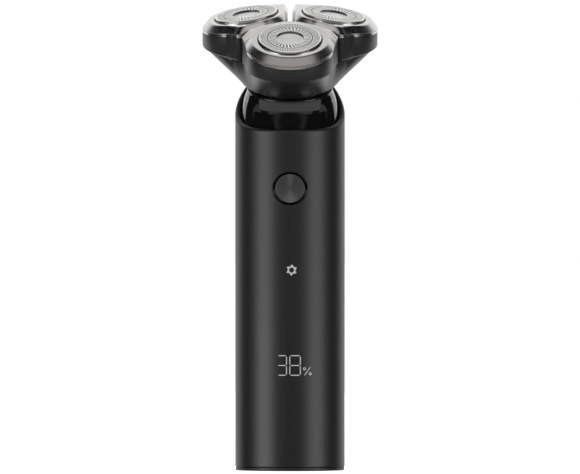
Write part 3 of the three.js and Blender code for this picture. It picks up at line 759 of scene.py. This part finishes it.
def wall_strip(outer, inner):
    """A thin plate on the shell's wall between two closed outlines of as many points."""
    steps = len(outer)
    points, faces = [], []
    for radius in (HANDLE_R - MARK_DEEP, HANDLE_R + MARK_PROUD):
        for outline in (outer, inner):
            for px, pz in outline:
                points.append(Vector((px, -math.sqrt(radius**2 - px * px), pz)))
    back_out, back_in, front_out, front_in = (steps * k for k in range(4))
    for i in range(steps):
        j = (i + 1) % steps
        faces.append((front_out + i, front_out + j, front_in + j, front_in + i))
        faces.append((back_out + j, back_out + i, back_in + i, back_in + j))
        faces.append((back_out + i, back_out + j, front_out + j, front_out + i))
        faces.append((back_in + j, back_in + i, front_in + i, front_in + j))
    return points, faces


def hoop(x, z, radius):
    STEPS, HOLE = 24, 0.45
    angles = [2 * math.pi * i / STEPS for i in range(STEPS)]
    outer = [(x + radius * math.cos(a), z + radius * math.sin(a)) for a in angles]
    inner = [(x + (px - x) * HOLE, z + (pz - z) * HOLE) for px, pz in outer]
    return wall_strip(outer, inner)


def gear_mark(x, z, width, height):
    """A small cog of six swept teeth with a round hole."""
    STEPS, TEETH, HOLE, VALLEY, RISE = 144, 6, 0.44, 0.64, 0.7
    outer, inner = [], []
    for i in range(STEPS):
        angle = 2 * math.pi * i / STEPS
        turn = (angle / (2 * math.pi) * TEETH + RISE - 0.5) % 1
        tooth = turn / RISE if turn < RISE else (1 - turn) / (1 - RISE)
        reach = VALLEY + (1 - VALLEY) * tooth**1.2
        sine, cosine = math.sin(angle), math.cos(angle)
        outer.append((x + width / 2 * reach * cosine, z + height / 2 * reach * sine))
        inner.append((x + width / 2 * HOLE * cosine, z + height / 2 * HOLE * sine))
    return wall_strip(outer, inner)


def make_marks():
    """The lit marks: two digits, a percent sign and a cog above them."""
    BOTTOM, TOP = 32.4, 39.4
    marks = {
        "display_digit_tens": digit("3", -4.33, -1.02, BOTTOM, TOP),
        "display_digit_units": digit("8", -0.24, 3.69, BOTTOM, TOP),
        "display_percent": merge(
            [
                on_wall(bar((4.9, 32.5), (6.9, 35.3), 0.26, 0)),
                hoop(4.95, 34.75, 0.5),
                hoop(6.85, 33.05, 0.5),
            ]
        ),
        "indicator_mark": gear_mark(0.55, 68.3, 3.8, 3.9),
    }
    for name, shape in marks.items():
        finish_piece(make_object(name, shape), "handle", lit_mark)


# ---------------------------------------------------------------- the neck


def neck_profile():
    """Shares of the way in and up from the mouth to the top ring: a ledge, a bend and a wall."""
    bend = Vector((0.9, 0.62))
    before, after = bend * 0.84, bend.lerp(Vector((1, 1)), 0.3)
    points = [bend * 0.28, bend * 0.56, before]
    STEPS = 6
    for i in range(1, STEPS):
        share = i / STEPS
        points.append(before.lerp(bend, share).lerp(bend.lerp(after, share), share))
    return points + [after, after.lerp(Vector((1, 1)), 0.5), Vector((1, 1))]


def make_neck():
    """The gloss collar up to a ring under the head: hollow before and behind, full beside."""
    COUNT = 144
    BULGE = 0.5
    RIM = 0.3
    BOTTOM_Z = 113.4
    WELL_R, WELL_FLOOR = 12.6, -6.4
    edge_r = HANDLE_R - LIP_WIDTH - 0.22
    ring_bottom = NECK_TOP_A - 0.75
    start = around(COUNT, lambda a: (edge_r, mouth_z(-edge_r * math.cos(a)) - 1.4))
    top = [HEAD @ p for p in circle(COUNT, NECK_TOP_R - 0.14, ring_bottom)]
    rings = [circle(COUNT, edge_r, BOTTOM_Z), start]
    for inward, upward in neck_profile():
        ring = []
        for a, b in zip(start, top):
            hollow = a.lerp(b, inward)
            hollow.z = a.z + (b.z - a.z) * upward
            outward = Vector((a.x, a.y, 0)).normalized()
            full = a.lerp(b, upward) + outward * BULGE * math.sin(math.pi * upward)
            sideways = min(max((abs(outward.x) - 0.66) / 0.2, 0), 1)
            ring.append(hollow.lerp(full, sideways**2 * (3 - 2 * sideways)))
        rings.append(ring)
    for r, level in (
        (NECK_TOP_R, ring_bottom + 0.06),
        *arc(NECK_TOP_R - RIM, NECK_TOP_A - RIM, RIM, 0, 90, 5),
        (WELL_R + 0.3, NECK_TOP_A),
        (WELL_R, NECK_TOP_A - 0.3),
        (WELL_R, WELL_FLOOR),
        (9.0, WELL_FLOOR),
    ):
        rings.append([HEAD @ p for p in circle(COUNT, r, level)])
    points, faces = skin(rings, closed=False)
    middle_below, middle_above = Vector((0, 0, BOTTOM_Z)), HEAD @ Vector((0, 0, WELL_FLOOR))
    closed = fan_ends(points, faces, COUNT, middle_below, middle_above)
    neck = make_object("neck_collar_fine", closed)
    finish_piece(neck, "handle", gloss_black, ["neck_collar"])
    make_neck_bumps(neck)


def make_neck_bumps(neck):
    """The small oval bump moulded on each side of the collar's front, in a light grey that is a painted
    reflection.
    """
    BUMP_X, BUMP_Z = 14.4, 126.0
    TALL, PROUD = 2.2, 0.16
    profile = [(0, -0.3), (0.26, -0.3), (0.26, 0.02), (0.2, PROUD * 0.7), (0.1, PROUD), (0, PROUD)]
    for side, x in (("left", -BUMP_X), ("right", BUMP_X)):
        start = Vector((x, -2 * HANDLE_R, BUMP_Z)) * MM
        _, spot, normal, _ = neck.ray_cast(start, Vector((0, 1, 0)))
        up = (Vector((0, 0, 1)) - normal * normal.z).normalized()
        points, faces = lathe_solid(profile, 24)
        oval = [Vector((p.x * TALL, p.y, p.z)) for p in points]
        bump = make_object(f"neck_bump_{side}", (oval, faces), placed(up, normal, spot / MM))
        finish_piece(bump, "handle", neck_bump_painted_reflection)


# ---------------------------------------------------------------- the head


def housing_radius(angle, a, inset):
    share = a / PART_LINE_A
    swell = share * (1 + HOUSING_BULGE * (1 - share))
    rim, eased = head_outline(angle), eased_outline(angle)
    rim = eased + (rim - eased) * share**3
    return HEAD_BASE_R + (rim - HEAD_BASE_R) * swell - inset


HOUSING_COUNT = 216
outline_memory = {}


def head_outline(angle):
    key = round(angle, 9)
    if key not in outline_memory:
        outline_memory[key] = head_radius(angle, POD_WALL + POD_CLEARANCE)
    return outline_memory[key]


def eased_outline(angle):
    """The outline with its valleys filled and its corners eased, by averaging along it."""
    REACH = 5
    step = 4 * math.pi / HOUSING_COUNT
    near = [head_outline((angle + step * k) % (2 * math.pi)) for k in range(-REACH, REACH + 1)]
    return sum(near) / len(near)


def make_head_housing():
    """The cone-shaped housing: round below, lobed above, with a hole for the seat."""
    HOLE_R, FLOOR = 8.5, 1.8
    EDGE, EDGE_STEPS, EDGE_SLOPE = 0.55, 4, 0.25
    LEVELS = 12
    bottom = HOUSING_BOTTOM_A

    def level(a, inset=0.0, height=None):
        height = a if height is None else height
        return around(HOUSING_COUNT, lambda angle: (housing_radius(angle, a, inset), height))

    rings = [circle(HOUSING_COUNT, HOLE_R, a) for a in (bottom + FLOOR, bottom)]
    for i in range(EDGE_STEPS + 1):
        angle = math.radians(90 * i / EDGE_STEPS)
        inset = EDGE * (1 - math.sin(angle)) + EDGE_SLOPE * (1 - i / EDGE_STEPS)
        rings.append(level(bottom + EDGE, inset, bottom + EDGE * (1 - math.cos(angle))))
    rise = PART_LINE_A - 0.15 - bottom - EDGE
    levels = [bottom + EDGE + rise * i / LEVELS for i in range(1, LEVELS + 1)]
    rings += [level(a) for a in levels]
    rings += [level(PART_LINE_A, 0.12), level(PART_LINE_A, HOUSING_WALL)]
    rings += [level(a, HOUSING_WALL) for a in (8, 5.5, bottom + FLOOR)]
    housing = make_object("head_housing_fine", skin(rings), HEAD)
    finish_piece(housing, "head", black_plastic, ["head_housing"])


def plane_ring(count, bevel, inset, drop):
    """A lobe's outline on the leaning plane, lowered by the drop, in the lobe's own frame."""

    def shape(angle):
        r = lobe_radius(angle, bevel, inset)
        return r, -r * math.cos(angle) * math.tan(CUTTER_LEAN) - drop

    return around(count, shape)


def bore_ring(count, radius, z):
    lean = Matrix.Rotation(CUTTER_LEAN, 4, "X")
    return [lean @ point for point in circle(count, radius, z)]


def make_pod(number):
    """The black skirt under a steel frame."""
    COUNT = 144
    BORE_R = 11.3
    CLEAR_R, CLEAR_TOP = 13.4, 15.6
    bottom = PART_LINE_A + GAP - FLAT_A
    drop = FRAME_H + 0.12

    def foot(inset, z):
        ring = plane_ring(COUNT, 0, inset, drop)
        return [Vector((p.x, p.y, z)) for p in ring]

    rings = [
        foot(POD_WALL, bottom + 0.1),
        foot(POD_WALL - 0.12, bottom),
        foot(0.06, bottom + POD_CHAMFER - 0.04),
        foot(0, bottom + POD_CHAMFER + 0.1),
        plane_ring(COUNT, 0, 0, drop + 0.12),
        plane_ring(COUNT, 0, 0.12, drop),
        bore_ring(COUNT, BORE_R, -drop),
        bore_ring(COUNT, BORE_R, -drop - POD_PLATE),
        plane_ring(COUNT, 0, POD_WALL, drop + POD_PLATE),
    ]
    place = lobe_frame(number)
    pod = make_object(f"pod_{number}_fine", skin(rings), place)
    clear = lathe_solid([(0, 0), (CLEAR_R, 0), (CLEAR_R, CLEAR_TOP), (0, CLEAR_TOP)], 96)
    cut_away(pod, clear, HEAD)
    finish_piece(
        pod, f"pod_{number}", black_plastic, [f"pod_{number}"]
    )


def make_steel_frame(number):
    """A steel frame: a flat face, a bevel all round, a fine groove and a short upright lip."""
    COUNT = 180
    bevel_rings = [
        plane_ring(COUNT, 0.93 * i / 5, 0, 0.10 + (BEVEL_H - 0.16) * (1 - i / 5))
        for i in range(6)
    ]
    rings = [
        bore_ring(COUNT, FRAME_BORE_R, -FRAME_H),
        plane_ring(COUNT, 0, 0.02, FRAME_H),
        plane_ring(COUNT, 0, 0, FRAME_H - 0.02),
        plane_ring(COUNT, 0, 0, BEVEL_H + 0.42),
        plane_ring(COUNT, 0, 0.05, BEVEL_H + 0.36),
        plane_ring(COUNT, 0, 0.22, BEVEL_H + 0.32),
        plane_ring(COUNT, 0, 0.22, BEVEL_H + 0.16),
        plane_ring(COUNT, 0, 0.03, BEVEL_H + 0.1),
        plane_ring(COUNT, 0, 0, BEVEL_H + 0.02),
        *bevel_rings,
        plane_ring(COUNT, 0.975, 0, 0.03),
        plane_ring(COUNT, 1.02, 0, 0),
        bore_ring(COUNT, FRAME_BORE_R + 0.22, 0),
        bore_ring(COUNT, FRAME_BORE_R + 0.06, -0.06),
        bore_ring(COUNT, FRAME_BORE_R, -0.22),
    ]
    steel = make_object(f"steel_frame_{number}_fine", skin(rings), lobe_frame(number))
    finish_piece(
        steel,
        f"pod_{number}",
        frame_steel,
        [f"steel_frame_{number}"],
        sharp=24,
        place=cutter_frame(number),
    )


# ---------------------------------------------------------------- the slotted caps

OUTER_SLOTS = 68
CAP_COUNT = 2 * OUTER_SLOTS
CELL_POINTS = 4
SLOT_SLANT = math.tan(math.radians(14))
INNER_TRACK = (4.95, 7.3)
OUTER_TRACK = (8.05, 10.2)
INNER_CELL = (0.0, 0.24, 0.48, 0.74)
OUTER_CELL = (0.0, 0.25, 0.5, 0.75)
FOIL = 0.35


def cap_profile():
    """The cap's top surface from its sunk middle out and down its side, as (r, z)."""
    EDGE = 0.18
    top = CAP_TOP
    floor = CAP_FLOOR
    sunk = [(2.4, floor + 0.03), (4.2, floor), (4.5, floor + 0.02), (4.64, floor + 0.14)]
    sunk += [(4.66, top - 0.12), (4.74, top - 0.03)]
    inner = [(INNER_TRACK[0], top), (5.6, top), (6.2, top), (6.8, top), (INNER_TRACK[1], top)]
    groove = [(7.5, top), (7.55, top - 0.3), (7.83, top - 0.3), (7.88, top)]
    outer = [(OUTER_TRACK[0], top), (8.6, top), (9.2, top), (9.75, top), (OUTER_TRACK[1], top)]
    side = [(CAP_R - EDGE, top), (CAP_R, top - EDGE), (CAP_R, -0.6), (CAP_R, -2.2)]
    return sunk + inner + groove + outer + side


def in_track(r0, r1, track):
    return track[0] - 1e-6 <= r0 and r1 <= track[1] + 1e-6


def make_foil_cap(number):
    """A thin steel cap with an inner and an outer track of slanted slots."""
    profile = cap_profile()

    def angle_of(i, r):
        cell, k = divmod(i, CELL_POINTS)
        share = INNER_CELL[k] if r <= INNER_TRACK[1] + 0.01 else OUTER_CELL[k]
        slant = SLOT_SLANT * math.log(r / 7.0)
        return 2 * math.pi * (cell + share) * CELL_POINTS / CAP_COUNT + slant

    rings = []
    for r, z in profile:
        ring = []
        for i in range(CAP_COUNT):
            angle = angle_of(i, r)
            ring.append(Vector((r * math.sin(angle), -r * math.cos(angle), z)))
        rings.append(ring)

    def is_slot(level, i):
        r0, r1 = profile[level][0], profile[level + 1][0]
        if in_track(r0, r1, INNER_TRACK):
            return i % CELL_POINTS < 2
        if in_track(r0, r1, OUTER_TRACK):
            return i % 2 == 0
        return False

    points, faces = skin(rings, closed=False, skip=is_slot)
    points, faces = fan_ends(points, faces, CAP_COUNT, bottom=Vector((0, 0, profile[0][1])))
    cap = make_object(f"foil_cap_{number}_fine", (points, faces), cutter_frame(number))
    thicken = cap.modifiers.new("foil", "SOLIDIFY")
    thicken.thickness, thicken.offset = FOIL * MM, -1
    bpy.context.view_layer.update()
    bake_modifiers(cap)
    finish_piece(
        cap,
        f"pod_{number}",
        cap_steel,
        [f"foil_cap_{number}"],
        sharp=30,
        place=cutter_frame(number),
    )


# ---------------------------------------------------------------- CAD parts that show as they are


def dress_cad_nodes():
    finishes = {
        "plain_steel": make_machined("drawn_steel", (0.42, 0.42, 0.43), 0.35),
        "brushed_steel": make_machined("cutter_steel", (0.45, 0.45, 0.46), 0.3),
        "grey_plastic": moulded("grey_plastic", (0.045, 0.047, 0.05), 0.5),
        "white_plastic": moulded("white_plastic", (0.72, 0.7, 0.66), 0.42),
        "satin_black_plastic": black_plastic,
        "gloss_black": gloss_black,
        "rubber": moulded("seal_rubber", (0.013, 0.013, 0.013), 0.8, grain=600.0, depth=0.01),
        "board_green": moulded("solder_mask", (0.01, 0.09, 0.03), 0.35),
        "cell_wrap": moulded("cell_wrap", (0.03, 0.16, 0.4), 0.3),
        "clear_plastic": moulded("light_guide", (0.6, 0.62, 0.64), 0.2),
        "red_wire": moulded("wire_insulation", (0.35, 0.012, 0.012), 0.4),
        "satin_black_metal": body_finish,
        "spun_metal": button_metal,
    }
    slots = {part["node"]: part["material_slot"] for part in frame["record"]["subparts"]}
    for name, obj in frame["nodes"].items():
        obj.data.materials.clear()
        obj.data.materials.append(finishes[slots[name]])


# ---------------------------------------------------------------- floor, light and camera


def make_floor():
    """A plain pale floor, just under the base, that also glows a little to stay even."""
    size, below, glow = 30.0, 0.00005, 0.45
    mesh = bpy.data.meshes.new("floor")
    corners = [(-size, -size, 0), (size, -size, 0), (size, size, 0), (-size, size, 0)]
    mesh.from_pydata(corners, [], [(0, 1, 2, 3)])
    floor = bpy.data.objects.new("floor", mesh)
    bpy.context.scene.collection.objects.link(floor)
    floor.location.z = -below
    surface = Surface("floor", (0.85, 0.85, 0.85), 0.9)
    surface.shader.inputs["Emission Color"].default_value = (1, 1, 1, 1)
    surface.shader.inputs["Emission Strength"].default_value = glow
    mesh.materials.append(surface.material)
    floor.visible_glossy = False
    floor.visible_shadow = False


WHITE = (1, 1, 1)
PANEL_DISTANCE = 2.0
PANEL_TARGET = Vector((0, 0, 0.1))

# Each panel: azimuth and elevation of its middle, its width and height as seen from the
# shaver, all in degrees, and its brightness. Azimuth 0 is the camera's side.
PANELS = {
    "backdrop": (180, -5, 106, 90, 1.15),
    "back_top": (180, 58, 88, 34, 1.0),
    "strip_left": (-56, -8, 32, 18, 7.2),
    "strip_right": (56, -8, 32, 18, 5.8),
    "front_low": (0, -38, 70, 26, 0.22),
    "below": (0, -89, 130, 130, 0.17),
}

# Each band: a curved screen in front, from one elevation up to another and out to an azimuth
# on both sides, its brightness, and its colour if it isn't white.
BAND_STEP = 10
BANDS = {
    "card": (4, 22, 80, 0.85),
    "upper_card": (22, 45, 60, 0.5, (1, 0.95, 0.93)),
}


def area_light(name, width, height, strength, colour, place):
    """A soft panel that faces along its own -Z, with the given radiance."""
    light = bpy.data.lights.new(name, "AREA")
    light.shape = "RECTANGLE"
    light.size, light.size_y = width, height
    light.energy = strength * math.pi * width * height
    light.color = colour
    panel = bpy.data.objects.new(name, light)
    bpy.context.scene.collection.objects.link(panel)
    panel.matrix_world = place
    panel.visible_camera = False


def chord(degrees):
    """The width of a flat panel that fills an angle at the panels' distance."""
    return 2 * PANEL_DISTANCE * math.tan(math.radians(degrees / 2))


def softbox(name, azimuth, elevation, width, height, strength):
    a, e = math.radians(azimuth), math.radians(elevation)
    away = Vector((math.sin(a) * math.cos(e), -math.cos(a) * math.cos(e), math.sin(e)))
    sideways = Vector((math.cos(a), math.sin(a), 0))
    place = placed(sideways, away, PANEL_TARGET + away * PANEL_DISTANCE)
    area_light(name, chord(width), chord(height), strength, WHITE, place)


def screen(name, low, high, reach, strength, colour=WHITE):
    """A curved screen, as upright panels edge to edge."""
    bottom, top = (PANEL_DISTANCE * math.tan(math.radians(e)) for e in (low, high))
    for azimuth in range(-reach + BAND_STEP // 2, reach, BAND_STEP):
        a = math.radians(azimuth)
        away = Vector((math.sin(a), -math.cos(a), 0))
        middle = PANEL_TARGET + away * PANEL_DISTANCE + Vector((0, 0, (bottom + top) / 2))
        place = placed(Vector((math.cos(a), math.sin(a), 0)), away, middle)
        area_light(f"{name}_{azimuth}", chord(BAND_STEP), top - bottom, strength, colour, place)


def light_scene():
    world = bpy.data.worlds.new("studio")
    bpy.context.scene.world = world
    world.use_nodes = True
    background = world.node_tree.nodes["Background"]
    background.inputs["Color"].default_value = (1, 1, 1, 1)
    background.inputs["Strength"].default_value = 1.0
    world.cycles_visibility.glossy = False
    for name, panel in PANELS.items():
        softbox(name, *panel)
    for name, band in BANDS.items():
        screen(name, *band)


def make_camera():
    DISTANCE = 4.0
    IMAGE_WIDTH = 0.19795
    CENTRE_Z = 0.07954
    data = bpy.data.cameras.new("camera")
    data.sensor_width = 36.0
    data.lens = data.sensor_width * DISTANCE / IMAGE_WIDTH
    data.clip_end = 100.0
    camera = bpy.data.objects.new("camera", data)
    bpy.context.scene.collection.objects.link(camera)
    camera.location = (0, -DISTANCE, CENTRE_Z)
    camera.rotation_euler = (math.radians(90), 0, 0)
    bpy.context.scene.camera = camera


def set_colours():
    bpy.context.scene.view_settings.view_transform = "Standard"


make_camera()
light_scene()
make_floor()
set_colours()
dress_cad_nodes()
make_body_shell()
make_base_cap()
make_power_button()
make_button_bezel()
make_marks()
make_neck()
make_head_housing()
for number in range(1, LOBES + 1):
    make_pod(number)
    make_steel_frame(number)
    make_foil_cap(number)
